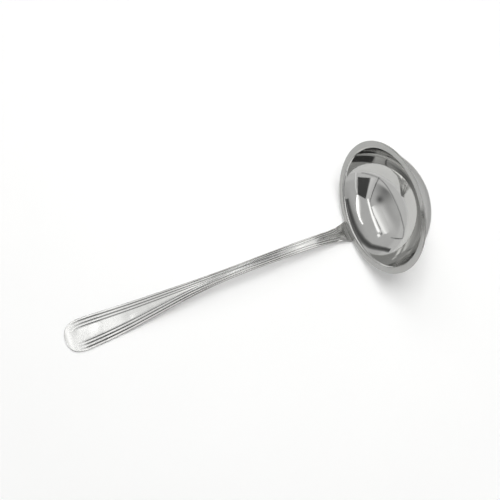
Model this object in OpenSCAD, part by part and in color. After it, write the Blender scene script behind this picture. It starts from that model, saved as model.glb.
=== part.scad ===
// Soup ladle, lying as it rests on a table: the handle's end and the underside of its root touch
// the table at Z = 0, +X runs from the handle's end to the bowl, and Y = 0 is its mirror plane.
// It is two pieces of steel and the weld that joins them.

/* [Bowl] */
// Diameter over the turned-out lip
lip_d = 98; // [90:1:104]
// How far the lip stands out from the wall
lip_w = 3.7; // [3:0.1:5]
// Depth of the bowl's outside below the top of its lip
bowl_depth = 32.5; // [29:0.5:36]
// Thickness of the bowl's sheet
sheet_t = 1.2; // [1:0.1:1.5]
// Radius of the bend under the lip
bend_r = 1; // [0.8:0.1:1.5]
// Slope of the bowl's axis above the table, in degrees
axis_lift = 24.65; // [22:0.05:27]

/* [Handle] */
// Half of the width of the spatulate end
end_w = 12.7; // [11:0.1:14]
// Length of the rounded end
end_l = 15; // [13:0.5:17]
// How full the corners of the end are, where 2 makes it a half ellipse
end_full = 2.5; // [2:0.1:3]
// Half of the width of the neck
neck_w = 4.25; // [3.8:0.05:4.6]
// Half of the width of the fishtail root under the lip
root_w = 8; // [7.5:0.1:9]
// Height of the underside of the arch above the table
arch_h = 18.2; // [15:0.2:20]
// Thickness in the middle of the end
end_t = 2.4; // [2.2:0.1:3]
// Thickness in the middle of the neck
neck_t = 4.4; // [4:0.1:5]
// Thickness of the root under the lip
root_t = 3.2; // [2.8:0.1:3.6]
// How rounded the ridge along the middle is, from 1 for a sharp one to 2 for an even crown
ridge_round = 1.15; // [1.1:0.05:2]
// Depth of the grooves between the raised threads
groove_h = 0.45; // [0.2:0.05:0.6]

/* [Weld] */
// Width of the ground weld on the bowl's wall
weld_w = 1.5; // [1:0.1:2]

/* [Hidden] */
$fn = 96;
steel = [0.78, 0.78, 0.77];
weld_steel = [0.7, 0.7, 0.69];

// Bowl: depths q run down its axis from the top of the lip, and radii r are measured from the axis.
lip_r = lip_d / 2;
wall_r = lip_r - lip_w;
cap_r = (pow(wall_r, 2) + pow(bowl_depth, 2)) / (2 * bowl_depth);
cap_lift = cap_r - bowl_depth;
bend_q = sheet_t + bend_r;
bend_at = sqrt(pow(cap_r + bend_r, 2) - pow(cap_lift + bend_q, 2));

// Root: it runs along the bowl's axis under the lip, and its tongue thins out on the bowl's wall.
seat_gap = 0.015;
under_r = lip_r + root_t;
root_q = -14;
tongue_q = 5;
tongue_l = 10.3;
tongue_t = 1.4;
thin_q = 13;
function ramp(x, lo, hi) = let (u = min(1, max(0, (x - lo) / (hi - lo)))) u * u * (3 - 2 * u);
function wall_out(q) = sqrt(pow(cap_r, 2) - pow(cap_lift + q, 2)) + seat_gap;
function on_wall_t(q) = tongue_t + (under_r - wall_out(q) - tongue_t) * (1 - ramp(q, sheet_t, thin_q));

// The bowl stands at the height at which the root's underside, worn a little flat, meets the table.
foot_cut = 0.3;
lip_z = max([for (q = [sheet_t:0.1:6])
    (wall_out(q) + on_wall_t(q)) * cos(axis_lift) + q * sin(axis_lift)]) - foot_cut;

// The free part of the handle ends in front of the lip, where its underside follows the bowl's axis.
free_l = 214.2;
free_z = lip_z - under_r * cos(axis_lift) - root_q * sin(axis_lift);
lip_x = free_l + under_r * sin(axis_lift) - root_q * cos(axis_lift);
tip_angle = 3;
tip_x = end_l * (1 - cos(tip_angle));
shift_x = -(tip_x + lip_x - cap_lift * cos(axis_lift) + cap_r) / 2;

// Knots of the handle along the table: underside, half width and thickness in the middle.
under_knots = [[0, 0], [16, 0], [30, 0], [50, arch_h * 0.12], [72, arch_h * 0.42], [95, arch_h * 0.75],
               [120, arch_h * 0.95], [147, arch_h], [175, arch_h * 0.895], [198, arch_h * 0.685],
               [free_l, free_z]];
taper = end_w - neck_w;
width_knots = [[end_l, end_w], [41, neck_w + 0.81 * taper], [71, neck_w + 0.485 * taper],
               [101, neck_w + 0.174 * taper], [131, neck_w], [165, neck_w], [190, neck_w + 0.2],
               [206, neck_w + 0.5], [free_l, neck_w + 0.9]];
thick_knots = [[0, end_t], [40, end_t], [130, neck_t], [190, neck_t], [free_l, (neck_t + root_t) / 2]];
// Knots of the root's half width along the bowl's axis, up to where the tongue rounds off.
root_knots = [[root_q, neck_w + 0.9], [-8, neck_w + 1.6], [-4, root_w - 1.3], [0, root_w],
              [tongue_q, root_w + 0.8]];
taper_slope = -0.03;
flare_slope = 0.12;

// Cubic curve through knots [x, value], with the slopes given at the first and the last of them.
function knot_slope(k, i, first, last) = i == 0 ? first
    : i == len(k) - 1 ? last
    : (k[i + 1][1] - k[i - 1][1]) / (k[i + 1][0] - k[i - 1][0]);
function knot_before(k, x, i = 0) = i >= len(k) - 2 || x < k[i + 1][0] ? i : knot_before(k, x, i + 1);
function hermite(a, b, slope_a, slope_b, h, u) = a * (1 + 2 * u) * pow(1 - u, 2)
    + slope_a * h * u * pow(1 - u, 2) + b * u * u * (3 - 2 * u) - slope_b * h * u * u * (1 - u);
function along(k, x, first = 0, last = 0) = let (i = knot_before(k, x), h = k[i + 1][0] - k[i][0])
    hermite(k[i][1], k[i + 1][1], knot_slope(k, i, first, last), knot_slope(k, i + 1, first, last),
            h, (x - k[i][0]) / h);

// Top of half a section, from the edge inwards, as [distance from the edge, depth below the crown].
// Three grooves run between the threads. They close up where the handle narrows, and the inner one
// runs out in the neck.
bead_steps = 4;
groove_at = [2.05, 4.5, 6.9];
groove_limit = [0.34, 0.68, 0.9];
edge_round = 0.12;
function groove(w, i) = w * min(groove_at[i] / end_w * pow(w / end_w, -0.54), groove_limit[i]);
function bead(a, b, deep_a, deep_b) = [for (k = [0:bead_steps - 1]) let (u = k / bead_steps)
    [a + (b - a) * u, (u < 0.5 ? deep_a : deep_b) * (1 - sin(180 * u))]];
function half_top(w, deep, inset) =
    let (a = groove(w, 0), b = groove(w, 1), c = groove(w, 2), inner = deep * ramp(w, 4.4, 6))
    concat(bead(inset, a, edge_round, deep), bead(a, b, deep, deep), bead(b, c, deep, inner),
           [for (k = [[0, 1], [0.2, 0.15], [0.55, 0], [0.85, 0]]) [c + (w - c) * k[0], inner * k[1]]]);

// Ring of points round a section, from one edge over the top to the other and back underneath.
// The section stands square to the path of the underside, which passes [x, z] with a slope of lean
// degrees. Where seat is 1, its top lies on a circle of radius seat_r round the bowl's axis.
function mirrored(line) = [for (i = [len(line) - 1:-1:0]) [-line[i][0], line[i][1]]];
function ring(x, z, lean, w, t, edge_t, deep, seat = 0, seat_r = under_r) = let (
        crown = function (y) t - (t - edge_t) * pow(y / w, ridge_round),
        rise = function (r, y) t + seat_r - sqrt(r * r - y * y),
        top = [for (p = half_top(w, deep, min(0.2, w / 10) * (1 - seat))) let (y = w - p[0])
            [y, (crown(y) - p[1]) * (1 - seat) + rise(seat_r, y) * seat]],
        half = concat([[w, top[0][1] - edge_t / 2]], top),
        low = [for (y = [w / 2, w - min(0.7, w * 0.3)]) [y, rise(seat_r + t, y) * seat]])
    [for (p = concat(half, [[0, t]], mirrored(half), mirrored(low), [[0, 0]], low))
        [x - p[1] * sin(lean) + shift_x, p[0], max(0, z + p[1] * cos(lean))]];

function under_z(x) = max(0, along(under_knots, x, 0, -tan(axis_lift)));
function rounding(x) = pow(1 - pow(max(0, 1 - x / end_l), end_full), 1 / end_full);
function free_w(x) = along(width_knots, max(x, end_l), taper_slope, flare_slope) * rounding(x);
function free_ring(x) = let (
        t = along(thick_knots, x, 0, -0.05),
        edge_t = t * (0.72 - 0.2 * ramp(x, 25, 75)))
    ring(x, under_z(x), atan2(under_z(x + 0.5) - under_z(x - 0.5), 1), free_w(x),
         edge_t + (t - edge_t) * rounding(x), edge_t, groove_h * ramp(x, 4, 15));
function root_w_at(q) = q < tongue_q ? along(root_knots, q, flare_slope, 0)
    : (root_w + 0.8) * sqrt(1 - pow((q - tongue_q) / tongue_l, 2));
function root_ring(q, r, t) =
    ring(lip_x - (r + t) * sin(axis_lift) + q * cos(axis_lift),
         lip_z - (r + t) * cos(axis_lift) - q * sin(axis_lift),
         -axis_lift, root_w_at(q), t, t * (0.52 + 0.48 * ramp(q, -12, 0)),
         groove_h * (1 - ramp(q, -3, 0)), ramp(q, root_q, -2), r);
function neck_root_ring(q) = let (t = root_t + (neck_t - root_t) / 2 * ramp(q, 0, root_q))
    root_ring(q, under_r - t, t);
function tongue_ring(q) = root_ring(q, wall_out(q), on_wall_t(q));

end_rings = [for (i = [0:7]) free_ring(end_l * (1 - cos(tip_angle + (90 - tip_angle) * i / 8)))];
free_rings = [for (i = [0:51]) free_ring(end_l + (free_l - end_l) * i / 52)];
neck_root_rings = [for (q = [root_q, -11, -8, -6, -4, -2]) neck_root_ring(q)];
lip_rings = [for (q = [0, sheet_t]) root_ring(q, lip_r + seat_gap, root_t)];
bend_ring = root_ring(sheet_t + 0.04, bend_at + 0.3, under_r - bend_at - 0.3);
tongue_steps = 8;
tongue_rings = concat([for (i = [0:2]) tongue_ring(bend_q + 0.1 + (tongue_q - bend_q - 0.1) * i / 3)],
    [for (i = [0:tongue_steps]) tongue_ring(tongue_q + tongue_l * sin(78 * i / tongue_steps))]);

// The weld follows the tongue's outline on the wall: down one side, across its end and up the other.
// Each of its rings has the corner of the tongue, the middle of its side, and two points outside.
wall_centre = [lip_x + shift_x - cap_lift * cos(axis_lift), 0, lip_z + cap_lift * sin(axis_lift)];
weld_side = [for (i = [1:len(tongue_rings) - 1]) [tongue_rings[i][1], tongue_rings[i][0]]];
tongue_end = tongue_rings[len(tongue_rings) - 1];
crest = tongue_end[3 * bead_steps + 5];
keel = tongue_end[len(tongue_end) - 3];
weld_line = concat(weld_side, [[crest, (crest + keel) / 2]],
    [for (i = [len(weld_side) - 1:-1:0]) [for (p = weld_side[i]) [p[0], -p[1], p[2]]]]);
function weld_ring(i) = let (
        corner = weld_line[i][0],
        side = weld_line[i][1],
        run = weld_line[min(i + 1, len(weld_line) - 1)][0] - weld_line[max(i - 1, 0)][0],
        aside = cross(run, corner - wall_centre),
        beside = corner + weld_w * aside / norm(aside) - wall_centre,
        toe = wall_centre + beside * (cap_r + seat_gap) / norm(beside))
    [corner, side, (side + toe) * 0.4 + corner * 0.2, toe];
weld_rings = [for (i = [0:len(weld_line) - 1]) weld_ring(i)];

// Closed skin over a list of rings that have the same number of points.
module loft(rings) {
    n = len(rings[0]);
    last = (len(rings) - 1) * n;
    sides = [for (i = [0:n:last - n], j = [0:n - 1]) let (a = i + j, b = i + (j + 1) % n)
        each [[a, b + n, b], [a, a + n, b + n]]];
    caps = [[for (j = [0:n - 1]) j], [for (j = [n - 1:-1:0]) last + j]];
    polyhedron(points = [for (r = rings) each r], faces = concat(sides, caps), convexity = 6);
}

// Outline of the bowl's sheet, from the bottom of the cap over the bend to the rounded edge of the lip.
// The cap runs a little into the bend, so that the two are one piece.
module bowl_outline() {
    bend_angle = atan2(-bend_q - cap_lift, bend_at);
    bend_dir = [cos(bend_angle), sin(bend_angle)];
    join = bend_angle + 0.02;
    far = 2 * cap_r;
    intersection() {
        translate([0, cap_lift]) difference() {
            circle(cap_r);
            circle(cap_r - sheet_t);
        }
        polygon([[0, cap_lift], [0, -far], [far, -far], [far * cos(join), cap_lift + far * sin(join)]]);
    }
    translate([bend_at, -bend_q]) intersection() {
        difference() {
            circle(bend_r + sheet_t);
            circle(bend_r);
        }
        polygon([[0, 0], [0, 9], [0, 9] - 9 * bend_dir, -9 * bend_dir]);
    }
    translate([bend_at, -sheet_t]) square([lip_r - sheet_t / 2 - bend_at, sheet_t]);
    translate([lip_r - sheet_t / 2, -sheet_t / 2]) circle(sheet_t / 2, $fn = 32);
}

module bowl() {
    color(steel)
        translate([lip_x + shift_x, 0, lip_z]) rotate([0, axis_lift - 90, 0])
            rotate_extrude($fn = 144) bowl_outline();
}

module handle() {
    color(steel)
        loft(concat(end_rings, free_rings, neck_root_rings, lip_rings, [bend_ring], tongue_rings));
}

module root_weld() {
    color(weld_steel) loft(weld_rings);
}

bowl();
handle();
root_weld();
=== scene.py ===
"""Soup ladle on a pale table: camera, light, and the steel pieces over the fixed frame.

The frame's axes hold here: +X runs from the handle's end to the bowl, +Z is up, and the table is Z = 0.
Sizes of the ladle are written in millimetres, and mm turns them into metres.
"""
import math

import bpy
import numpy as np
from mathutils import Matrix, Vector


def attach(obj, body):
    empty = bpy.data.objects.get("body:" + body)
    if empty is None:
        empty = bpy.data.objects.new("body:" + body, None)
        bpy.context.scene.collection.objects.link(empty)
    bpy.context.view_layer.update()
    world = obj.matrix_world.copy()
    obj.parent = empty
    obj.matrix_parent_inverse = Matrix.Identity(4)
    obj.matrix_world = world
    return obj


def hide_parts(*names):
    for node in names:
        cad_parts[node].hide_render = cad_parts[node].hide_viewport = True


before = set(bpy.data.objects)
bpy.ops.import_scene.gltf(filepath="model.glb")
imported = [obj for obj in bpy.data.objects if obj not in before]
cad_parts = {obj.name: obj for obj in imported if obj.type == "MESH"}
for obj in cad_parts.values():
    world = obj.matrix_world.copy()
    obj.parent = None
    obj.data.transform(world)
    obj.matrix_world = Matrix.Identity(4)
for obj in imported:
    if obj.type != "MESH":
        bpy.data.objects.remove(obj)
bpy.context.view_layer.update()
mm = 0.001

# Bowl: depths q run down its axis from the top of the lip, and radii r are measured from the axis.
LIP_R = 49.0
WALL_R = 45.3
BOWL_DEPTH = 32.5
SHEET_T = 1.2
BEND_R = 1.0
AXIS_LIFT = math.radians(24.65)
CAP_R = (WALL_R**2 + BOWL_DEPTH**2) / (2 * BOWL_DEPTH)
CAP_LIFT = CAP_R - BOWL_DEPTH
BEND_Q = SHEET_T + BEND_R
BEND_AT = math.sqrt((CAP_R + BEND_R) ** 2 - (CAP_LIFT + BEND_Q) ** 2)

# Handle: half widths, heights and thicknesses, as in the solid that it stands for.
END_W = 12.7
END_L = 15.0
END_FULL = 2.5
NECK_W = 4.25
ROOT_W = 8.0
ARCH_H = 18.2
END_T = 2.4
NECK_T = 4.4
ROOT_T = 3.2
RIDGE_ROUND = 1.15
GROOVE_H = 0.45
GROOVE_AT = (2.05, 4.5, 6.9)
GROOVE_LIMIT = (0.34, 0.68, 0.9)
EDGE_ROUND = 0.12
# The grooves take a larger share of the width where the handle is narrow, and the innermost one
# fades out below these half widths.
GROOVE_DRIFT = -0.54
INNER_GROOVE = (4.4, 6)
# Distances from the tip over which the grooves, and the painted shade in them, set in.
GROOVE_START = (4, 18)
PAINTED_SHADE_START = (6, 24)
WELD_W = 1.5
SEAT_GAP = 0.015
FOOT_CUT = 0.3
UNDER_R = LIP_R + ROOT_T
ROOT_Q = -14.0
TONGUE_Q = 5.0
TONGUE_L = 10.3
TONGUE_T = 1.4
THIN_Q = 13.0
FREE_L = 214.2
TIP_ANGLE = math.radians(3)


def ramp(x, lo, hi):
    """Goes smoothly from 0 at lo to 1 at hi."""
    u = min(1.0, max(0.0, (x - lo) / (hi - lo)))
    return u * u * (3 - 2 * u)


def wall_out(q):
    """Radius of the bowl's outside at depth q, with the seat's gap."""
    return math.sqrt(CAP_R**2 - (CAP_LIFT + q) ** 2) + SEAT_GAP


def on_wall_t(q):
    """Thickness of the root where it lies on the bowl's wall."""
    return TONGUE_T + (UNDER_R - wall_out(q) - TONGUE_T) * (1 - ramp(q, SHEET_T, THIN_Q))


def touch_height(q):
    """Height of the lip's centre at which the root's underside at depth q would meet the table."""
    return (wall_out(q) + on_wall_t(q)) * math.cos(AXIS_LIFT) + q * math.sin(AXIS_LIFT)


LIP_Z = max(touch_height(SHEET_T + 0.1 * i) for i in range(49)) - FOOT_CUT
FREE_Z = LIP_Z - UNDER_R * math.cos(AXIS_LIFT) - ROOT_Q * math.sin(AXIS_LIFT)
LIP_X = FREE_L + UNDER_R * math.sin(AXIS_LIFT) - ROOT_Q * math.cos(AXIS_LIFT)
TIP_X = END_L * (1 - math.cos(TIP_ANGLE))
SHIFT_X = -(TIP_X + LIP_X - CAP_LIFT * math.cos(AXIS_LIFT) + CAP_R) / 2
AXIS_DOWN = np.array([math.cos(AXIS_LIFT), 0.0, -math.sin(AXIS_LIFT)])
LIP_CENTRE = np.array([LIP_X + SHIFT_X, 0.0, LIP_Z])
CAP_CENTRE = LIP_CENTRE - CAP_LIFT * AXIS_DOWN

UNDER_KNOTS = [(0, 0), (16, 0), (30, 0), (50, ARCH_H * 0.12), (72, ARCH_H * 0.42), (95, ARCH_H * 0.75),
               (120, ARCH_H * 0.95), (147, ARCH_H), (175, ARCH_H * 0.895), (198, ARCH_H * 0.685),
               (FREE_L, FREE_Z)]
TAPER = END_W - NECK_W
WIDTH_KNOTS = [(END_L, END_W), (41, NECK_W + 0.81 * TAPER), (71, NECK_W + 0.485 * TAPER),
               (101, NECK_W + 0.174 * TAPER), (131, NECK_W), (165, NECK_W), (190, NECK_W + 0.2),
               (206, NECK_W + 0.5), (FREE_L, NECK_W + 0.9)]
THICK_KNOTS = [(0, END_T), (40, END_T), (130, NECK_T), (190, NECK_T), (FREE_L, (NECK_T + ROOT_T) / 2)]
ROOT_KNOTS = [(ROOT_Q, NECK_W + 0.9), (-8, NECK_W + 1.6), (-4, ROOT_W - 1.3), (0, ROOT_W),
              (TONGUE_Q, ROOT_W + 0.8)]
TAPER_SLOPE = -0.03
FLARE_SLOPE = 0.12


def along(knots, x, first=0.0, last=0.0):
    """Cubic curve through knots (x, value), with the slopes given at the first and the last of them."""
    i = 0
    while i < len(knots) - 2 and x >= knots[i + 1][0]:
        i += 1

    def slope(k):
        if k == 0:
            return first
        if k == len(knots) - 1:
            return last
        return (knots[k + 1][1] - knots[k - 1][1]) / (knots[k + 1][0] - knots[k - 1][0])

    (x0, a), (x1, b) = knots[i], knots[i + 1]
    h = x1 - x0
    u = (x - x0) / h
    return (a * (1 + 2 * u) * (1 - u) ** 2 + slope(i) * h * u * (1 - u) ** 2
            + b * u * u * (3 - 2 * u) - slope(i + 1) * h * u * u * (1 - u))


def under_z(x):
    """Height of the handle's underside at x."""
    return max(0.0, along(UNDER_KNOTS, x, 0.0, -math.tan(AXIS_LIFT)))


def rounding(x):
    """Share of the width and of the crown that the rounded end has at x."""
    return (1 - max(0.0, 1 - x / END_L) ** END_FULL) ** (1 / END_FULL)


def free_w(x):
    """Half width of the handle at x."""
    return along(WIDTH_KNOTS, max(x, END_L), TAPER_SLOPE, FLARE_SLOPE) * rounding(x)


# Points on each stretch of a section: a bead between grooves, the centre panel, an edge's round.
BEAD_STEPS = 14
PANEL_STEPS = 10
EDGE_STEPS = 5
UNDER_STEPS = 6
# Where the panel's points lie, from its groove to the middle. They stand closer by the groove.
PANEL_AT = [(k / PANEL_STEPS) ** 1.5 for k in range(PANEL_STEPS)]
# Shares of the panel over which its groove dies away, and the painted shade in it.
PANEL_FALL = 0.1
PANEL_SHADE_FALL = 0.02
# Largest rounds of an edge, at its top and at its foot.
TOP_ROUND = 0.2
FOOT_ROUND = 0.7


def half_top(w, deep, inset):
    """Top from the edge inwards, as (distance from the edge, depth below the crown)."""
    a, b, c = (w * min(at / END_W * (w / END_W) ** GROOVE_DRIFT, limit)
               for at, limit in zip(GROOVE_AT, GROOVE_LIMIT))
    inner = deep * ramp(w, *INNER_GROOVE)
    beads = ((inset, a, EDGE_ROUND, deep), (a, b, deep, deep), (b, c, deep, inner))
    line = []
    for start, stop, deep_a, deep_b in beads:
        for k in range(BEAD_STEPS):
            u = k / BEAD_STEPS
            depth = deep_a if u < 0.5 else deep_b
            line.append((start + (stop - start) * u, depth * (1 - math.sin(math.pi * u))))
    line += [(c + (w - c) * v, inner * math.exp(-v / PANEL_FALL)) for v in PANEL_AT]
    return line


def ring(x, z, lean, w, t, edge_t, deep, seat=0.0, seat_r=UNDER_R):
    """Points round a section that stands square to the path of the underside at (x, z).

    w is its half width, t and edge_t its thickness in the middle and at the edge, and deep the depth of
    its grooves. seat goes from 0, a flat underside, to 1, a section bent round the radius seat_r.
    """

    def rise(r, y):
        return t + seat_r - math.sqrt(r * r - y * y)

    inset = min(TOP_ROUND, w / 10) * (1 - seat)
    corner = min(FOOT_ROUND, w * 0.3)
    top = []
    for edge_dist, depth in half_top(w, deep, inset):
        y = w - edge_dist
        crown = t - (t - edge_t) * (y / w) ** RIDGE_ROUND
        top.append((y, (crown - depth) * (1 - seat) + rise(seat_r, y) * seat))
    top_h = top[0][1]
    mid_h = top_h - edge_t / 2
    low_h = rise(seat_r + t, w - corner) * seat
    turns = [math.pi / 2 * k / EDGE_STEPS for k in range(EDGE_STEPS)]
    upper = [(w - inset * math.sin(a) ** 2, mid_h + (top_h - mid_h) * math.sin(a)) for a in turns]
    lower = [(w - corner * (1 - math.cos(a)), mid_h - (mid_h - low_h) * math.sin(a)) for a in turns[1:]]
    under = [(y, rise(seat_r + t, y) * seat)
             for y in ((w - corner) * (1 - k / UNDER_STEPS) for k in range(UNDER_STEPS))]
    left = upper + top
    below = lower + under
    points = left + [(0.0, t)] + [(-y, h) for y, h in reversed(left)]
    points += [(-y, h) for y, h in below] + [(0.0, 0.0)] + list(reversed(below))
    return [(x - h * math.sin(lean) + SHIFT_X, y, max(0.0, z + h * math.cos(lean))) for y, h in points]


def free_ring(x):
    """Section of the handle between its tip and its root."""
    t = along(THICK_KNOTS, x, 0.0, -0.05)
    lean = math.atan(under_z(x + 0.5) - under_z(x - 0.5))
    edge_t = t * (0.72 - 0.2 * ramp(x, 25, 75))
    crown_t = edge_t + (t - edge_t) * rounding(x)
    return ring(x, under_z(x), lean, free_w(x), crown_t, edge_t, GROOVE_H * ramp(x, *GROOVE_START))


def root_w_at(q):
    """Half width of the root and the tongue at depth q."""
    if q < TONGUE_Q:
        return along(ROOT_KNOTS, q, FLARE_SLOPE, 0.0)
    return (ROOT_W + 0.8) * math.sqrt(1 - ((q - TONGUE_Q) / TONGUE_L) ** 2)


def root_ring(q, r, t):
    """Section of the root at depth q, t thick, with its top at radius r from the bowl's axis."""
    low = r + t
    return ring(LIP_X - low * math.sin(AXIS_LIFT) + q * math.cos(AXIS_LIFT),
                LIP_Z - low * math.cos(AXIS_LIFT) - q * math.sin(AXIS_LIFT),
                -AXIS_LIFT, root_w_at(q), t, t * (0.52 + 0.48 * ramp(q, -12, 0)),
                GROOVE_H * (1 - ramp(q, -3, 0)), ramp(q, ROOT_Q, -2), r)


def neck_root_ring(q):
    """Section of the root before the lip, where it thins out from the neck."""
    t = ROOT_T + (NECK_T - ROOT_T) / 2 * (1 - ramp(q, ROOT_Q, 0))
    return root_ring(q, UNDER_R - t, t)


def tongue_ring(q):
    """Section of the tongue, which lies on the bowl's wall."""
    return root_ring(q, wall_out(q), on_wall_t(q))


END_RINGS = 48
FREE_RINGS = 260
NECK_ROOT_RINGS = 24
TONGUE_STEPS = 8
TONGUE_RINGS = 30
TONGUE_STOP = math.radians(78)
END_XS = [END_L * (1 - math.cos(TIP_ANGLE + (math.pi / 2 - TIP_ANGLE) * i / END_RINGS))
          for i in range(END_RINGS)]
FREE_XS = [END_L + (FREE_L - END_L) * i / FREE_RINGS for i in range(FREE_RINGS)]


def tongue_depths(start):
    """Depths of the tongue's rings, which close up towards its rounded end."""
    straight = [start + (TONGUE_Q - start) * i / TONGUE_STEPS for i in range(TONGUE_STEPS)]
    return straight + [TONGUE_Q + TONGUE_L * math.sin(TONGUE_STOP * i / TONGUE_RINGS)
                       for i in range(TONGUE_RINGS + 1)]


def handle_rings():
    """The handle's rings: its length, the root under the lip, the step over the bend, the tongue."""
    rings = [free_ring(x) for x in END_XS + FREE_XS]
    rings += [neck_root_ring(ROOT_Q * (1 - i / NECK_ROOT_RINGS)) for i in range(NECK_ROOT_RINGS)]
    rings += [root_ring(q, LIP_R + SEAT_GAP, ROOT_T) for q in (0, SHEET_T)]
    rings += [root_ring(SHEET_T + 0.04, BEND_AT + 0.3, UNDER_R - BEND_AT - 0.3)]
    return rings + [tongue_ring(q) for q in tongue_depths(BEND_Q + 0.1)]


# Painted shade: its share along the edges, where it draws a dark outline, its share in the neck's
# grooves, where the neck's share sets in along the handle, and where it ends along the root.
EDGE_SHARE = 0.8
NECK_SHARE = 0.35
NECK_FADE = (105, 150)
ROOT_FADE = (0.7, 1)


def painted_shade_shares(ring_count):
    """How dark with painted shade each point of the handle's rings is, from 0 to 1.

    It is painted shade along the edges and in the grooves. The neck's grooves keep less of it.
    """
    bead = [(1 - math.sin(math.pi * k / BEAD_STEPS)) ** 2 for k in range(BEAD_STEPS)]
    first = [share if k >= BEAD_STEPS / 2 else 0.0 for k, share in enumerate(bead)]
    panel = [math.exp(-v / PANEL_SHADE_FALL) for v in PANEL_AT]
    rim = [EDGE_SHARE] * EDGE_STEPS
    below = rim[1:] + [0.0] * UNDER_STEPS

    def across(fade):
        left = rim + [fade * share for share in first + bead + bead + panel]
        return left + [0.0] + left[::-1] + below + [0.0] + below[::-1]

    fades = [ramp(x, *PAINTED_SHADE_START) * (1 - (1 - NECK_SHARE) * ramp(x, *NECK_FADE)) for x in END_XS + FREE_XS]
    fades += [NECK_SHARE * (1 - ramp(i / NECK_ROOT_RINGS, *ROOT_FADE)) for i in range(NECK_ROOT_RINGS)]
    fades += [0.0] * (ring_count - len(fades))
    return [share for fade in fades for share in across(fade)]


WELD_FROM_Q = 3.2
WELD_STEPS = 7
# Points of the tongue's last section, counted from its edge, at which the weld has a ring.
WELD_END_POINTS = (10, 20, 30, 40)


def weld_rings():
    """The weld's rings, down one side of the tongue, across its end and up the other side."""
    left = []
    for q in tongue_depths(WELD_FROM_Q):
        points = tongue_ring(q)
        left.append((points[EDGE_STEPS], points[0]))
    drop_x, drop_z = (points[0][k] - points[EDGE_STEPS][k] for k in (0, 2))

    def with_foot(corner):
        return corner, (corner[0] + drop_x, corner[1], corner[2] + drop_z)

    left += [with_foot(points[EDGE_STEPS + k]) for k in WELD_END_POINTS]
    crest = points[EDGE_STEPS + 3 * BEAD_STEPS + PANEL_STEPS]
    right = [tuple((p[0], -p[1], p[2]) for p in pair) for pair in reversed(left)]
    line = [tuple(np.array(p) for p in pair) for pair in left + [with_foot(crest)] + right]
    rings = []
    for i, (corner, foot) in enumerate(line):
        run = line[min(i + 1, len(line) - 1)][0] - line[max(i - 1, 0)][0]
        aside = np.cross(run, corner - CAP_CENTRE)
        beside = corner + WELD_W * aside / np.linalg.norm(aside) - CAP_CENTRE
        toe = CAP_CENTRE + beside * (CAP_R + SEAT_GAP) / np.linalg.norm(beside)
        pull = 0.3 * (foot + toe) + 0.4 * corner
        face = [(1 - t) ** 2 * foot + 2 * t * (1 - t) * pull + t * t * toe
                for t in np.linspace(0, 1, WELD_STEPS)]
        rings.append([corner] + face)
    return rings


def loft_mesh(name, rings):
    """Closed mesh over rings of points in millimetres."""
    count = len(rings[0])
    points = [tuple(c * mm for c in p) for r in rings for p in r]
    last = (len(rings) - 1) * count
    faces = [(i + j, i + count + j, i + count + (j + 1) % count, i + (j + 1) % count)
             for i in range(0, last, count) for j in range(count)]
    faces += [tuple(range(count)), tuple(last + j for j in reversed(range(count)))]
    return make_mesh(name, points, faces)


SMOOTH_ANGLE = math.radians(50)


def make_mesh(name, points, faces):
    """Mesh object with smooth faces, except over edges sharper than SMOOTH_ANGLE."""
    mesh = bpy.data.meshes.new(name)
    mesh.from_pydata(points, [], faces)
    mesh.validate()
    mesh.polygons.foreach_set("use_smooth", [True] * len(mesh.polygons))
    mesh.set_sharp_from_angle(angle=SMOOTH_ANGLE)
    piece = bpy.data.objects.new(name, mesh)
    bpy.context.scene.collection.objects.link(piece)
    return piece


def arc(centre, radius, start, stop, steps):
    """Points (r, height) on an arc, angles in radians from the +r direction."""
    return [(centre[0] + radius * math.cos(a), centre[1] + radius * math.sin(a))
            for a in np.linspace(start, stop, steps)]


CAP_STEPS = 90
BEND_STEPS = 14
FLAT_STEPS = 5
BOWL_TURNS = 288

# The solid's mesh is made of flat facets, which lie this far inside the true round of lip and cap.
LIP_FACET = 0.013
CAP_FACET = 0.001


def bowl_outline():
    """Outline of the sheet as (r, height above the lip's top), outside first, then back inside."""
    bend_angle = math.atan2(-BEND_Q - CAP_LIFT, BEND_AT)
    bend_centre = (BEND_AT, -BEND_Q)
    edge_r = SHEET_T / 2
    outside = arc((0, CAP_LIFT), CAP_R - CAP_FACET, -math.pi / 2, bend_angle, CAP_STEPS)
    bend_out = arc(bend_centre, BEND_R, math.pi + bend_angle, math.pi / 2, BEND_STEPS)
    edge = arc((LIP_R - LIP_FACET - edge_r, -edge_r), edge_r, -math.pi / 2, math.pi / 2, BEND_STEPS)
    bend_in = arc(bend_centre, BEND_R + SHEET_T, math.pi / 2, math.pi + bend_angle, BEND_STEPS)
    inside = arc((0, CAP_LIFT), CAP_R - SHEET_T, bend_angle, -math.pi / 2, CAP_STEPS)
    flat = [(r, -SHEET_T) for r in np.linspace(BEND_AT, LIP_R - edge_r, FLAT_STEPS)[1:-1]]
    top = [(r, 0.0) for r in np.linspace(LIP_R - edge_r, BEND_AT, FLAT_STEPS)[1:-1]]
    return outside + bend_out[1:] + flat + edge + top + bend_in + inside[1:]


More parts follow.
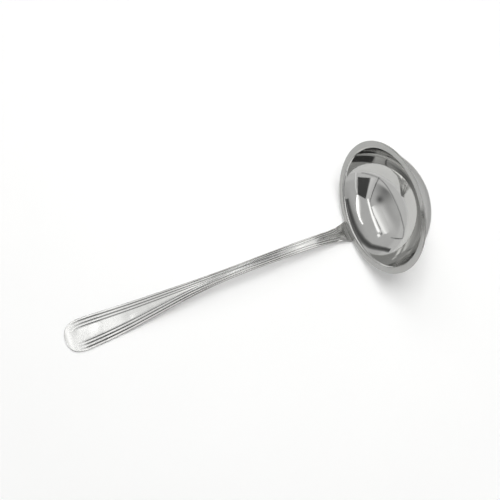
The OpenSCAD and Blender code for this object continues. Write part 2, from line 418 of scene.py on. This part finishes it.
def make_bowl():
    """The bowl's sheet, turned round its axis, and the count of its points in one outline."""
    outline = bowl_outline()
    across = np.array([math.sin(AXIS_LIFT), 0.0, math.cos(AXIS_LIFT)])
    sideways = np.array([0.0, 1.0, 0.0])
    points = []
    for k in range(BOWL_TURNS):
        angle = 2 * math.pi * k / BOWL_TURNS
        radial = math.cos(angle) * across + math.sin(angle) * sideways
        for r, height in outline[1:-1]:
            points.append((LIP_CENTRE - height * AXIS_DOWN + r * radial) * mm)
    count = len(outline) - 2
    poles = [LIP_CENTRE - outline[0][1] * AXIS_DOWN, LIP_CENTRE - outline[-1][1] * AXIS_DOWN]
    points += [p * mm for p in poles]
    out_pole = BOWL_TURNS * count
    in_pole = out_pole + 1
    faces = []
    for k in range(BOWL_TURNS):
        a = k * count
        b = (k + 1) % BOWL_TURNS * count
        faces += [(a + j, b + j, b + j + 1, a + j + 1) for j in range(count - 1)]
        faces += [(out_pole, b, a), (in_pole, a + count - 1, b + count - 1)]
    return make_mesh("steel_bowl", [tuple(p) for p in points], faces), count


# Materials.
def new_material(name):
    material = bpy.data.materials.new(name)
    material.use_nodes = True
    nodes = material.node_tree.nodes
    nodes.clear()
    return material, nodes, material.node_tree.links


def add_node(nodes, kind, **values):
    """A node with its properties, or its inputs where a name has an input of that name, set."""
    node = nodes.new(kind)
    for key, value in values.items():
        if key in node.inputs:
            node.inputs[key].default_value = value
        else:
            setattr(node, key, value)
    return node


def link_math(nodes, links, operation, *values):
    """A math node whose inputs are sockets or numbers. Gives its output."""
    node = add_node(nodes, "ShaderNodeMath", operation=operation)
    for i, value in enumerate(values):
        if isinstance(value, bpy.types.NodeSocket):
            links.new(value, node.inputs[i])
        else:
            node.inputs[i].default_value = value
    return node.outputs["Value"]


def link_range(nodes, links, value, lo, hi, to_lo=0.0, to_hi=1.0):
    """Maps a socket's range lo to hi smoothly to another range."""
    node = add_node(nodes, "ShaderNodeMapRange", interpolation_type="SMOOTHSTEP")
    links.new(value, node.inputs["Value"])
    for name, number in (("From Min", lo), ("From Max", hi), ("To Min", to_lo), ("To Max", to_hi)):
        node.inputs[name].default_value = number
    return node.outputs["Result"]


def straight_lines(stretch):
    """Polish lines that run along the object: the lines' place, and no worn patch."""
    def lines(nodes, links, place):
        mapping = add_node(nodes, "ShaderNodeMapping", Scale=stretch)
        links.new(place, mapping.inputs["Vector"])
        return mapping.outputs["Vector"], None
    return lines


# Polish lines of the bowl: how fast their noise changes round the axis, and across the lines.
ROUND_SCALE = 5.0
ACROSS_SCALE = 1400.0
# Worn patch on the rim towards -Y: shares of the radius aside and up, and metres of depth, each
# from where the wear starts to where it is full.
WORN_ASIDE = (-0.45, -0.8)
WORN_UP = (-0.5, -0.1)
WORN_DEPTH = (0.012, 0.006)


def round_lines(nodes, links, place):
    """Polish lines round the bowl's axis: the lines' place, and the rim's patch that pouring wears."""
    from_lip = add_node(nodes, "ShaderNodeVectorMath", operation="SUBTRACT")
    from_lip.inputs[1].default_value = tuple(LIP_CENTRE * mm)
    links.new(place, from_lip.inputs[0])

    def part_along(way):
        dot = add_node(nodes, "ShaderNodeVectorMath", operation="DOT_PRODUCT")
        dot.inputs[1].default_value = way
        links.new(from_lip.outputs["Vector"], dot.inputs[0])
        return dot.outputs["Value"]

    depth = part_along(tuple(AXIS_DOWN))
    up = part_along((math.sin(AXIS_LIFT), 0.0, math.cos(AXIS_LIFT)))
    aside = part_along((0.0, 1.0, 0.0))
    squares = [link_math(nodes, links, "POWER", side, 2.0) for side in (up, aside)]
    radius = link_math(nodes, links, "SQRT", link_math(nodes, links, "ADD", *squares))
    turn_up = link_math(nodes, links, "DIVIDE", up, radius)
    turn_aside = link_math(nodes, links, "DIVIDE", aside, radius)
    slant = link_math(nodes, links, "SUBTRACT", depth, radius)
    spot = add_node(nodes, "ShaderNodeCombineXYZ")
    for axis, value, scale in (("X", turn_up, ROUND_SCALE), ("Y", turn_aside, ROUND_SCALE),
                               ("Z", slant, ACROSS_SCALE)):
        links.new(link_math(nodes, links, "MULTIPLY", value, scale), spot.inputs[axis])
    worn = link_range(nodes, links, turn_aside, *WORN_ASIDE)
    for value, reach in ((turn_up, WORN_UP), (depth, WORN_DEPTH)):
        worn = link_math(nodes, links, "MULTIPLY", worn, link_range(nodes, links, value, *reach))
    return spot.outputs["Vector"], worn


# Noise of the steel: scales, the part of the noise that counts, and the shares of the tint.
CLOUD_SCALE = 90.0
CLOUD_RANGE = (0.35, 0.7)
GRAIN_SCALE = 60.0
TONE_STOPS = ((0.3, 0.94), (0.75, 1.0))
WAVE_STRETCH = (0.3, 0.3, 0.28)
# Two sets of scratches, as (turn, stretch), and the part of their noise that is a scratch.
SCRATCHES = ((0.5, (300, 5000, 900)), (-1.1, (400, 4500, 1200)))
SCRATCH_TILT = 0.3
SCRATCH_RANGE = (0.70, 0.78)


def steel_material(name, tint, edge_tint, rough, rough_spread, lines, line_h, scratch_h, grain_h,
                   wear=(0.0, 0.0), painted_shade=0.0):
    """Polished steel: cloudy roughness, polish lines, fine scratches and a faint unevenness.

    Heights are in metres. The two numbers of wear are what the worn patch adds to the roughness and
    the height of its waves. The last argument paints shade: how much darker the steel is where the attribute
    groove is 1.
    """
    material, nodes, links = new_material(name)
    place = add_node(nodes, "ShaderNodeTexCoord").outputs["Object"]

    def noise(vector, scale, detail):
        texture = add_node(nodes, "ShaderNodeTexNoise", Scale=scale, Detail=detail, Roughness=0.6)
        links.new(vector, texture.inputs["Vector"])
        return texture.outputs["Fac"]

    def bump(height, distance, under=None):
        node = add_node(nodes, "ShaderNodeBump", Strength=1.0, Distance=distance)
        links.new(height, node.inputs["Height"])
        if under is not None:
            links.new(under, node.inputs["Normal"])
        return node.outputs["Normal"]

    cloud = noise(place, CLOUD_SCALE, 4.0)
    roughness = link_range(nodes, links, cloud, *CLOUD_RANGE, rough, rough + rough_spread)
    line_place, worn = lines(nodes, links, place)
    normal = bump(noise(place, GRAIN_SCALE, 2.0), grain_h)
    normal = bump(noise(line_place, 1.0, 4.0), line_h, normal)
    if wear[0] > 0:
        roughness = link_math(nodes, links, "MULTIPLY_ADD", worn, wear[0], roughness)
        wide = add_node(nodes, "ShaderNodeMapping", Scale=WAVE_STRETCH)
        links.new(line_place, wide.inputs["Vector"])
        waves = link_math(nodes, links, "MULTIPLY", noise(wide.outputs["Vector"], 1.0, 1.0), worn)
        normal = bump(waves, wear[1], normal)
    for turn, stretch in SCRATCHES:
        mapping = add_node(nodes, "ShaderNodeMapping", Rotation=(SCRATCH_TILT, turn, turn), Scale=stretch)
        links.new(place, mapping.inputs["Vector"])
        scratch = link_range(nodes, links, noise(mapping.outputs["Vector"], 1.0, 2.0), *SCRATCH_RANGE)
        normal = bump(scratch, scratch_h, normal)
    tone = add_node(nodes, "ShaderNodeValToRGB")
    for stop, (at, level) in zip(tone.color_ramp.elements, TONE_STOPS):
        stop.position = at
        stop.color = (*[c * level for c in tint], 1.0)
    surface = add_node(nodes, "ShaderNodeBsdfPrincipled", Metallic=1.0)
    surface.inputs["Specular Tint"].default_value = (edge_tint, edge_tint, edge_tint, 1.0)
    out = add_node(nodes, "ShaderNodeOutputMaterial")
    links.new(cloud, tone.inputs["Fac"])
    color = tone.outputs["Color"]
    # Painted shade: the tint is darker where the attribute groove is high.
    if painted_shade > 0:
        groove = add_node(nodes, "ShaderNodeAttribute", attribute_name="groove")
        dark = add_node(nodes, "ShaderNodeMixRGB", blend_type="MULTIPLY")
        dark.inputs["Color2"].default_value = (1 - painted_shade, 1 - painted_shade, 1 - painted_shade, 1.0)
        links.new(groove.outputs["Fac"], dark.inputs["Fac"])
        links.new(color, dark.inputs["Color1"])
        color = dark.outputs["Color"]
    links.new(color, surface.inputs["Base Color"])
    links.new(roughness, surface.inputs["Roughness"])
    links.new(normal, surface.inputs["Normal"])
    links.new(surface.outputs["BSDF"], out.inputs["Surface"])
    return material


# Tints and edge tints are set to the photograph's tones under the tent below. They are darker than the
# record's colours, 0.78 and 0.70, and differ from piece to piece: the one steel is tinted darker on the lip,
# painted shade, and lighter on the handle, painted light, than on the bowl.
bowl_steel = steel_material("polished_bowl_inside", (0.53, 0.53, 0.517), 1.0, 0.035, 0.05, round_lines,
                            line_h=0.000002, scratch_h=0.000004, grain_h=0.00001, wear=(0.16, 0.0002))
# The lip's darker tint is painted shade.
lip_steel = steel_material("polished_lip_painted_shade", (0.41, 0.41, 0.40), 0.7, 0.10, 0.10, round_lines,
                           line_h=0.000003, scratch_h=0.000004, grain_h=0.00001)
outer_steel = steel_material("polished_bowl_outside", (0.53, 0.53, 0.52), 0.5, 0.08, 0.08, round_lines,
                             line_h=0.000003, scratch_h=0.000004, grain_h=0.00001)
# The handle's lighter tint is painted light. Its darkening in the grooves and along the edges is painted
# shade.
handle_steel = steel_material("polished_handle_painted_light_and_shade", (0.70, 0.70, 0.685), 0.45, 0.14, 0.10,
                              straight_lines((60, 3000, 60)), line_h=0.000004, scratch_h=0.000003,
                              grain_h=0.00001, painted_shade=0.62)
weld_steel = steel_material("ground_weld_steel", (0.47, 0.47, 0.46), 0.7, 0.28, 0.2,
                            straight_lines((3000, 500, 500)), line_h=0.00004, scratch_h=0.00001,
                            grain_h=0.00006)


def dress(piece, node, material):
    """Puts a piece in the place of a CAD node, with its material."""
    piece.data.materials.clear()
    piece.data.materials.append(material)
    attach(piece, "root")
    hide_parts(node)


# Faces of one turn of the bowl that belong to its outside and to its inside. The rest are its lip's.
OUTSIDE_STEPS = CAP_STEPS + BEND_STEPS - 2
INSIDE_STEPS = CAP_STEPS + BEND_STEPS // 2
OUTSIDE_SLOT = 1
LIP_SLOT = 2


def dress_bowl():
    """The bowl, whose outside and lip have their own steel. Each turn's last two faces are the poles'."""
    bowl, count = make_bowl()
    dress(bowl, "bowl", bowl_steel)
    bowl.data.materials.append(outer_steel)
    bowl.data.materials.append(lip_steel)
    for face in bowl.data.polygons:
        step = face.index % (count + 1)
        if step < OUTSIDE_STEPS or step == count - 1:
            face.material_index = OUTSIDE_SLOT
        elif step < count - INSIDE_STEPS:
            face.material_index = LIP_SLOT


def dress_handle():
    """The handle, with its painted shade in the grooves and along the edges as the point attribute groove.
    """
    rings = handle_rings()
    handle = loft_mesh("threaded_handle", rings)
    grooves = handle.data.attributes.new("groove", "FLOAT", "POINT")
    grooves.data.foreach_set("value", painted_shade_shares(len(rings)))
    dress(handle, "handle", handle_steel)


dress_bowl()
dress_handle()
dress(loft_mesh("ground_weld", weld_rings()), "root_weld", weld_steel)


# Table and background.
def background_seen(nodes, links):
    """1 for rays from the camera and for those that the steel sends on, and 0 for the rest."""
    path = add_node(nodes, "ShaderNodeLightPath")
    total = path.outputs["Is Camera Ray"]
    for kind in ("Is Glossy Ray", "Is Transmission Ray"):
        total = link_math(nodes, links, "MAXIMUM", total, path.outputs[kind])
    return total


# What the table glows by for the camera and the steel, the distances in metres over which it goes
# over to plain white, and half of its side.
FLOOR_LIFT = 0.21
FLOOR_FADE = (0.18, 0.40)
FLOOR_HALF = 1.2


def floor_material():
    """White table that shows the ladle's shadow.

    What the camera and the steel see is lifted to white, and far from the ladle the table is as white
    as the background.
    """
    material, nodes, links = new_material("white_table")
    grain = add_node(nodes, "ShaderNodeTexNoise", Scale=30.0, Detail=3.0)
    white = add_node(nodes, "ShaderNodeValToRGB")
    white.color_ramp.elements[0].color = (0.79, 0.79, 0.785, 1.0)
    white.color_ramp.elements[1].color = (0.81, 0.81, 0.805, 1.0)
    matt = add_node(nodes, "ShaderNodeBsdfDiffuse")
    lift = add_node(nodes, "ShaderNodeEmission")
    both = add_node(nodes, "ShaderNodeAddShader")
    place = add_node(nodes, "ShaderNodeTexCoord")
    distance = add_node(nodes, "ShaderNodeVectorMath", operation="LENGTH")
    links.new(place.outputs["Object"], distance.inputs[0])
    far = link_range(nodes, links, distance.outputs["Value"], *FLOOR_FADE)
    far_white = add_node(nodes, "ShaderNodeEmission")
    fade = add_node(nodes, "ShaderNodeMixShader")
    out = add_node(nodes, "ShaderNodeOutputMaterial")
    seen = background_seen(nodes, links)
    links.new(seen, far_white.inputs["Strength"])
    links.new(far, fade.inputs["Fac"])
    links.new(both.outputs["Shader"], fade.inputs[1])
    links.new(far_white.outputs["Emission"], fade.inputs[2])
    links.new(grain.outputs["Fac"], white.inputs["Fac"])
    links.new(white.outputs["Color"], matt.inputs["Color"])
    links.new(link_math(nodes, links, "MULTIPLY", seen, FLOOR_LIFT), lift.inputs["Strength"])
    links.new(matt.outputs["BSDF"], both.inputs[0])
    links.new(lift.outputs["Emission"], both.inputs[1])
    links.new(fade.outputs["Shader"], out.inputs["Surface"])
    return material


def make_floor():
    corners = [(-FLOOR_HALF, -FLOOR_HALF, 0), (FLOOR_HALF, -FLOOR_HALF, 0),
               (FLOOR_HALF, FLOOR_HALF, 0), (-FLOOR_HALF, FLOOR_HALF, 0)]
    floor = make_mesh("table_top", corners, [(0, 1, 2, 3)])
    floor.data.materials.append(floor_material())


make_floor()


# World and lamps. Together they light the table to about 1, so that a colour renders as written.
ROOM_LEVEL = 0.32


def make_world():
    """Even room light. The camera and the steel see it as white."""
    world = bpy.data.worlds.new("pale_room")
    bpy.context.scene.world = world
    world.use_nodes = True
    nodes = world.node_tree.nodes
    nodes.clear()
    links = world.node_tree.links
    room = add_node(nodes, "ShaderNodeBackground", Color=(1.0, 1.0, 0.99, 1.0), Strength=ROOM_LEVEL)
    white = add_node(nodes, "ShaderNodeBackground", Color=(1.0, 1.0, 1.0, 1.0), Strength=1.0)
    mix = add_node(nodes, "ShaderNodeMixShader")
    out = add_node(nodes, "ShaderNodeOutputWorld")
    links.new(background_seen(nodes, links), mix.inputs[0])
    links.new(room.outputs["Background"], mix.inputs[1])
    links.new(white.outputs["Background"], mix.inputs[2])
    links.new(mix.outputs["Shader"], out.inputs["Surface"])


def softbox(name, place, size, power):
    """Square lamp that shines at the origin. The steel doesn't mirror it."""
    lamp = bpy.data.lights.new(name, "AREA")
    lamp.shape = "RECTANGLE"
    lamp.size = lamp.size_y = size
    lamp.energy = power
    holder = bpy.data.objects.new(name, lamp)
    bpy.context.scene.collection.objects.link(holder)
    holder.location = place
    holder.rotation_euler = (-Vector(place)).to_track_quat("-Z", "Y").to_euler()
    holder.visible_glossy = False


make_world()
softbox("softbox_key", (0.20, 0.17, 1.25), 0.60, 10.4)
softbox("softbox_side", (0.10, 0.80, 1.15), 0.60, 2.4)


# Light tent that the steel mirrors. Its parts are placed by the direction in which the bowl sees them:
# x and y are degrees from straight up towards +X and +Y, so that 90 is level with the table.
# Names go by the tent's own sides. The hollow bowl mirrors them, so that the light on the tent's right
# shows on the left in the bowl. Only reflections see the tent. Its cloth hangs FAR times as far away
# as the strips and panels, apart from the two far panels, which hang just before it.
TENT_R = 0.75
TENT_MIDDLE = (0.10, 0.0, 0.04)
FAR = 2.7
FAR_PANEL = FAR * 0.9


def tent_point(x, y, tone, near):
    """Point (x, y, z, tone) in a direction, at near times the tent's radius."""
    tilt = math.radians(math.hypot(x, y))
    turn = math.atan2(y, x)
    way = (math.sin(tilt) * math.cos(turn), math.sin(tilt) * math.sin(turn), math.cos(tilt))
    return (*(m + TENT_R * near * w for m, w in zip(TENT_MIDDLE, way)), tone)


def cloth_material():
    """Tent cloth that glows as the point attribute tone says."""
    material, nodes, links = new_material("tent_cloth")
    tone = add_node(nodes, "ShaderNodeAttribute", attribute_name="tone")
    glow = add_node(nodes, "ShaderNodeEmission")
    out = add_node(nodes, "ShaderNodeOutputMaterial")
    links.new(tone.outputs["Fac"], glow.inputs["Strength"])
    links.new(glow.outputs["Emission"], out.inputs["Surface"])
    return material


tent_cloth = cloth_material()


def card(name, rows):
    """Sheet of the tent through rows of points (x, y, z, tone)."""
    count = len(rows[0])
    points = [p[:3] for row in rows for p in row]
    faces = [(i * count + j, i * count + j + 1, (i + 1) * count + j + 1, (i + 1) * count + j)
             for i in range(len(rows) - 1) for j in range(count - 1)]
    sheet = make_mesh(name, points, faces)
    tones = sheet.data.attributes.new("tone", "FLOAT", "POINT")
    tones.data.foreach_set("value", [p[3] for row in rows for p in row])
    sheet.data.materials.append(tent_cloth)
    sheet.visible_camera = False
    sheet.visible_diffuse = False
    sheet.visible_shadow = False


def ribbon(name, path, tones, near=0.97):
    """Strip along path, whose points are (x, y, width). The tones run across it."""
    rows = []
    for i, (x, y, width) in enumerate(path):
        before, after = path[max(i - 1, 0)], path[min(i + 1, len(path) - 1)]
        run_x, run_y = after[0] - before[0], after[1] - before[1]
        run = math.hypot(run_x, run_y)
        rows.append([tent_point(x - run_y / run * width * u, y + run_x / run * width * u, tone, near)
                     for u, tone in zip(np.linspace(-0.5, 0.5, len(tones)), tones)])
    card(name, rows)


def panel(name, corners, tones, near=0.96):
    """Four-sided patch with a tone at each corner, evened out between them."""
    steps = np.linspace(0, 1, 7)
    a, b, c, d = (np.array((*corner, tone)) for corner, tone in zip(corners, tones))
    card(name, [[tent_point(*((a * (1 - u) + b * u) * (1 - v) + (d * (1 - u) + c * u) * v), near)
                 for u in steps] for v in steps])


# Pools of light and shade on the cloth: (x, y, reach in x, reach in y, tone).
POOLS = [(31, 0, 15, 90, 1.35), (75, 0, 22, 90, 0.45), (7, -10, 6, 60, 0.50), (-44, 12, 10, 34, 1.05),
         (52, 5, 12, 50, 1.0), (-58, 10, 8, 40, 0.62), (-66, -30, 16, 22, 0.30), (-49, -20, 8, 8, 0.16)]
CLOTH_TONE = 0.72
SKIRT_TONE = 0.85
SKIRT_FROM = (74, 80)


def cloth_tone(x, y):
    """The cloth's tone with its pools, and that of the skirt that it ends in near the table."""
    tone = CLOTH_TONE
    for px, py, rx, ry, pool in POOLS:
        share = math.exp(-((x - px) / rx) ** 2 - ((y - py) / ry) ** 2)
        tone += (pool - tone) * share
    return tone + (SKIRT_TONE - tone) * ramp(math.hypot(x, y), *SKIRT_FROM)


def make_tent():
    """The cloth, then the lights, seams, dark strips and panels before it."""
    spots = [[(2.0 * i * math.cos(a), 2.0 * i * math.sin(a)) for a in np.radians(np.arange(0, 361, 4))]
             for i in range(47)]
    card("tent_cloth", [[tent_point(x, y, cloth_tone(x, y), FAR) for x, y in row] for row in spots])
    panel("tent_far_back", [(-38, 44), (-24, 44), (-24, 10), (-38, 10)], [1.25] * 4, FAR_PANEL)
    panel("tent_far_front", [(-38, 10), (-24, 10), (-24, -14), (-36, -14)], [2.2, 2.2, 1.6, 1.6], FAR_PANEL)
    ribbon("tent_light_right",
           [(-3.3, 9.2, 2.9), (-2.9, 3.0, 4.3), (-2.9, -3.2, 4.7), (-6.1, -17.1, 8.8), (-10.6, -32.1, 9.0),
            (-13.6, -44.5, 5.0)], [0.7, 0.9, 1.3, 2.1, 3.2, 3.2])
    ribbon("tent_light_far", [(21, 8, 4), (22, -5, 6), (23, -25, 6), (22, -45, 5)], [0.8, 2.4, 2.4, 0.8])
    ribbon("tent_light_front", [(-12.7, -48, 2.5), (-13.2, -60, 3.5), (-17, -75, 5), (-21, -92, 6)],
           [0.6, 1.1, 1.2, 0.6])
    ribbon("tent_light_middle",
           [(-22, 36, 5.6), (-22.9, 21.4, 5.4), (-23.8, 7.5, 5.0), (-25.5, -8.6, 4.6), (-27.4, -23.6, 4.3),
            (-28.5, -31, 3.0)], [1.2, 1.9, 2.2, 1.9, 0.8])
    ribbon("tent_light_left",
           [(-35.0, 46, 8), (-36.0, 36, 14), (-36.5, 22.5, 15), (-36.8, 4.3, 16), (-36.0, -6, 13),
            (-33.5, -14, 6)], [0.9, 1.0, 1.1, 1.3, 1.7, 1.6])
    ribbon("tent_seam_middle",
           [(-25.7, 42, 1.7), (-27.4, 21.4, 1.7), (-27.6, 0, 1.7), (-28.9, -15, 1.7), (-31.1, -25.7, 1.7)],
           [0.6, 0.42, 0.42, 0.6], 0.95)
    ribbon("tent_seam_front", [(-30, -24, 1.2), (-42.9, -39.6, 1.7), (-53.6, -51.4, 1.9), (-66, -62.5, 2.2)],
           [0.3, 0.13, 0.13, 0.3], 0.95)
    ribbon("tent_seam_back", [(-53.6, 79.3, 1.5), (-44, 69, 2.5), (-35.4, 57.9, 1.2)],
           [0.4, 0.09, 0.09, 0.4], 0.95)
    ribbon("tent_hem",
           [(-52, 77, 3), (-64.3, 60, 3), (-69.6, 40.7, 3), (-73.9, 17, 3), (-75, -4.3, 3), (-75, -23.6, 3),
            (-71.8, -42.9, 3), (-64.3, -61, 3), (-49.3, -75, 3), (-32, -85.7, 3)],
           [0.7, 0.39, 0.39, 0.8], 0.98)
    ribbon("tent_dark_right",
           [(-20, 84, 11), (-14, 74, 12), (-6, 65, 13), (4, 54, 14), (10, 37, 14), (12.5, 15, 13),
            (12.5, 0, 12), (11, -20, 10), (9, -45, 8)], [0.55, 0.20, 0.11, 0.13, 0.25, 0.75], 0.98)
    panel("tent_door", [(-24.6, -32.1), (-13.5, -45.0), (-22.5, -79.7), (-47.6, -68.1)], [0.09] * 4)
    panel("tent_flap", [(-31.5, -27.5), (-26.5, -32.0), (-49.5, -68.5), (-63.0, -62.0)],
          [0.8, 0.9, 1.1, 0.8], 0.97)
    panel("tent_clamp", [(-27.0, 43.5), (-23.0, 43.5), (-23.0, 39.0), (-26.5, 39.0)], [0.28] * 4, 0.94)
    panel("tent_lamp_end", [(-21.5, 44.0), (-17.0, 45.0), (-16.5, 39.0), (-21.0, 38.5)], [1.8] * 4, 0.95)


make_tent()


# Camera, as the photograph was taken: placed in the frame of the handle's end, in millimetres.
VIEW_TURN = math.radians(21.433)
VIEW_UP = math.radians(78.84)
VIEW_FAR = 762.2
VIEW_SHIFT = (137.98, 69.57)
LENS_PX = 1000.0
PHOTO_PX = 500.0
SENSOR_MM = 36.0


def make_camera():
    """The camera, with right, ahead and back as its directions over the table."""
    right = Vector((math.cos(VIEW_TURN), -math.sin(VIEW_TURN), 0.0))
    ahead = Vector((math.sin(VIEW_TURN), math.cos(VIEW_TURN), 0.0))
    back = -math.cos(VIEW_UP) * ahead + math.sin(VIEW_UP) * Vector((0.0, 0.0, 1.0))
    up = back.cross(right)
    target = right * VIEW_SHIFT[0] + ahead * VIEW_SHIFT[1] + Vector((SHIFT_X, 0.0, 0.0))
    place = (target + back * VIEW_FAR) * mm
    lens = bpy.data.cameras.new("photo_camera")
    lens.sensor_width = SENSOR_MM
    lens.sensor_fit = "HORIZONTAL"
    lens.lens = SENSOR_MM * LENS_PX / PHOTO_PX
    lens.clip_start = 0.01
    lens.clip_end = 20.0
    camera = bpy.data.objects.new("photo_camera", lens)
    bpy.context.scene.collection.objects.link(camera)
    turn = Matrix((right, up, back)).transposed()
    camera.matrix_world = Matrix.Translation(place) @ turn.to_4x4()
    bpy.context.scene.camera = camera


make_camera()
bpy.context.scene.view_settings.view_transform = "Standard"
